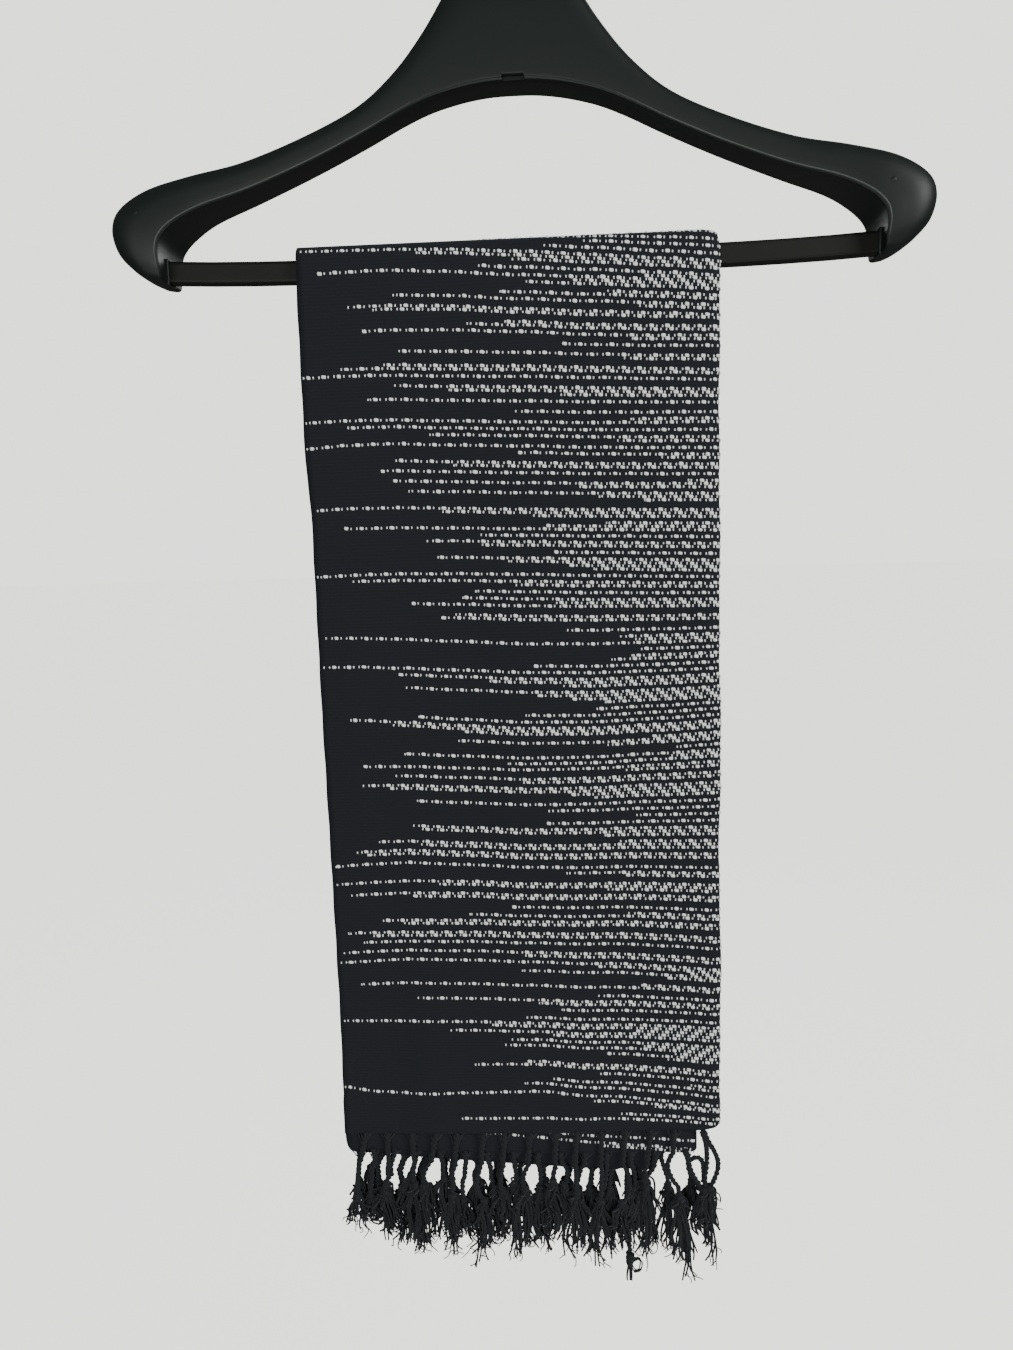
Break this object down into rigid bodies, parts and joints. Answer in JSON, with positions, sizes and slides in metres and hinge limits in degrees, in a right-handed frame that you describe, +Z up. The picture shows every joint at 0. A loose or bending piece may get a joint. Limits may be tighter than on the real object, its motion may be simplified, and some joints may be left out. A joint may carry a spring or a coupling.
{
  "type": "scarf on a coat hanger",
  "caption": "Long handwoven scarf with knotted fringes, folded narrow and hung over the trouser bar of a broad-shouldered coat hanger.",
  "frame": {"origin": "inner top of the hook's crook, where a rail holds the hanger", "axes": "+Z up along the hanging length, -Y towards the front of the hanger, +X along the trouser bar"},
  "size_m": [0.434, 0.0392, 0.8128],
  "materials": {
    "hanger_plastic": "satin moulded black plastic",
    "bar_plastic": "satin moulded black plastic, slightly duller than the body",
    "hook_wire": "plated bent steel wire",
    "woven_cloth": "black cloth with off-white broken weft lines, small pointed-twill repeat, matt",
    "fringe_yarn": "black twisted warp ends, knotted and frayed"
  },
  "bodies": {
    "root": {"hanger_body": "hanger_plastic", "trouser_bar": "bar_plastic", "hook": "hook_wire", "front_outer_fall": "woven_cloth", "front_inner_fall": "woven_cloth", "crown_outer": "woven_cloth", "crown_inner": "woven_cloth", "back_outer_fall": "woven_cloth", "back_inner_fall": "woven_cloth", "fringe_a": "fringe_yarn", "fringe_b": "fringe_yarn", "fringe_c": "fringe_yarn", "fringe_d": "fringe_yarn"}
  },
  "joints": []
}
